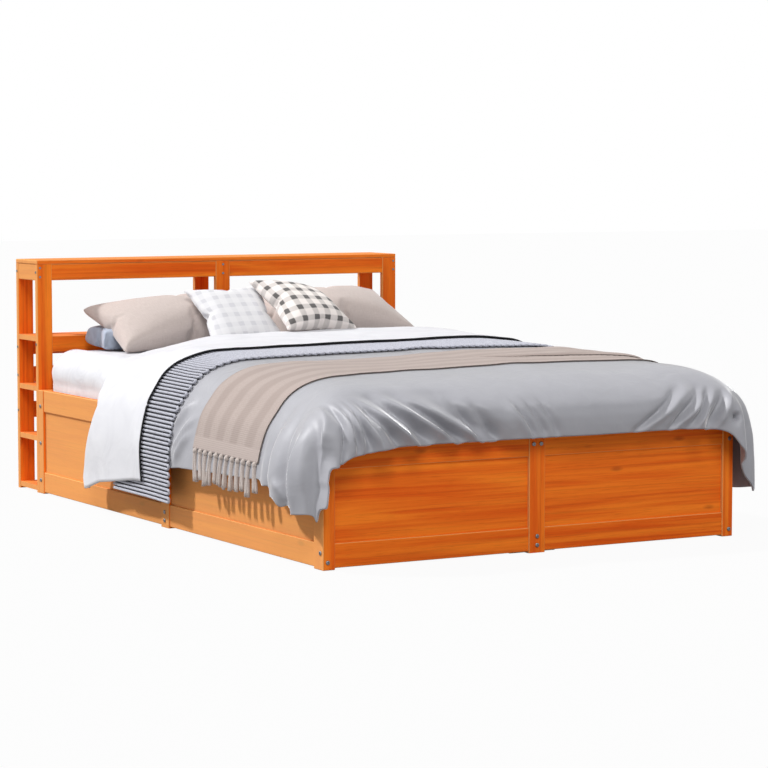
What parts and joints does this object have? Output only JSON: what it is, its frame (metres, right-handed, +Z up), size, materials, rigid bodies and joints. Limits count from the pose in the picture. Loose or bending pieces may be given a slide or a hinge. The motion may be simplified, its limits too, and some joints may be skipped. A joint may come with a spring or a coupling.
{
  "type": "wooden bed",
  "caption": "Pine double bed with panelled sides and footboard, an open bookcase headboard, a slatted base, and a mattress with duvet, throws, pillows and cushions.",
  "frame": {"origin": "on the floor, under the middle of the whole bed", "axes": "+X to the right seen from the foot, +Y from the foot towards the bookcase headboard, +Z up"},
  "size_m": [1.5368, 2.32, 0.82],
  "materials": {
    "pine_stained": "stained and oiled pine",
    "pine_plain": "planed pine",
    "zinc_plated_steel": "zinc plated",
    "beech": "turned beech",
    "white_sheet": "cotton sheet over a foam mattress",
    "cotton_duvet": "washed cotton, filled",
    "grey_knit": "knitted wool",
    "beige_weave": "woven cotton with tonal stripes",
    "beige_linen": "linen",
    "grey_cotton": "cotton",
    "white_print": "cotton with a faint grey print",
    "gingham": "woven check"
  },
  "bodies": {
    "bed_frame": {"beam_legs": "pine_plain", "bed_bolts": "zinc_plated_steel", "bed_nuts": "zinc_plated_steel", "bookcase_back_post_centre": "pine_stained", "bookcase_back_post_left": "pine_stained", "bookcase_back_post_right": "pine_stained", "bookcase_back_rails": "pine_stained", "bookcase_cross_rails": "pine_stained", "bookcase_front_post_centre": "pine_stained", "bookcase_front_post_left": "pine_stained", "bookcase_front_post_right": "pine_stained", "bookcase_front_rails": "pine_stained", "bookcase_shelf_bottom": "pine_stained", "bookcase_shelf_lower": "pine_stained", "bookcase_shelf_middle": "pine_stained", "bookcase_shelf_rails": "pine_stained", "bookcase_shelf_upper": "pine_stained", "bookcase_top": "pine_stained", "centre_beam": "pine_plain", "dowels": "beech", "foot_bottom_rail_left": "pine_stained", "foot_bottom_rail_right": "pine_stained", "foot_panel_left": "pine_stained", "foot_panel_right": "pine_stained", "foot_post_left": "pine_stained", "foot_post_right": "pine_stained", "foot_stile": "pine_stained", "foot_top_rail_left": "pine_stained", "foot_top_rail_right": "pine_stained", "head_post_left": "pine_stained", "head_post_right": "pine_stained", "head_rails": "pine_plain", "joining_battens": "pine_plain", "side_bottom_rail_foot_left": "pine_stained", "side_bottom_rail_foot_right": "pine_stained", "side_bottom_rail_head_left": "pine_stained", "side_bottom_rail_head_right": "pine_stained", "side_panel_foot_left": "pine_stained", "side_panel_foot_right": "pine_stained", "side_panel_head_left": "pine_stained", "side_panel_head_right": "pine_stained", "side_stile_left": "pine_stained", "side_stile_right": "pine_stained", "side_top_rail_foot_left": "pine_stained", "side_top_rail_foot_right": "pine_stained", "side_top_rail_head_left": "pine_stained", "side_top_rail_head_right": "pine_stained", "slat_ledgers": "pine_plain", "slats": "pine_plain", "wood_screws": "zinc_plated_steel"},
    "mattress": {"mattress": "white_sheet", "duvet": "cotton_duvet", "throw_grey": "grey_knit", "throw_beige": "beige_weave"},
    "pillow_small": {"pillow_small": "grey_cotton"},
    "pillow_left": {"pillow_left": "beige_linen"},
    "pillow_right": {"pillow_right": "beige_linen"},
    "cushion_white": {"cushion_white": "white_print"},
    "cushion_plaid": {"cushion_plaid": "gingham"}
  },
  "joints": [
    {"name": "mattress_lift", "type": "slide", "parent": "bed_frame", "child": "mattress", "axis": [0, 0, 1], "range_m": [0, 0.25]},
    {"name": "pillow_small_lift", "type": "slide", "parent": "mattress", "child": "pillow_small", "axis": [0, 0, 1], "range_m": [0, 0.15]},
    {"name": "pillow_left_lift", "type": "slide", "parent": "pillow_small", "child": "pillow_left", "axis": [0, 0, 1], "range_m": [0, 0.15]},
    {"name": "pillow_right_lift", "type": "slide", "parent": "pillow_left", "child": "pillow_right", "axis": [0, 0, 1], "range_m": [0, 0.15]},
    {"name": "cushion_white_lift", "type": "slide", "parent": "pillow_right", "child": "cushion_white", "axis": [0, 0, 1], "range_m": [0, 0.15]},
    {"name": "cushion_plaid_lift", "type": "slide", "parent": "cushion_white", "child": "cushion_plaid", "axis": [0, 0, 1], "range_m": [0, 0.15]}
  ]
}
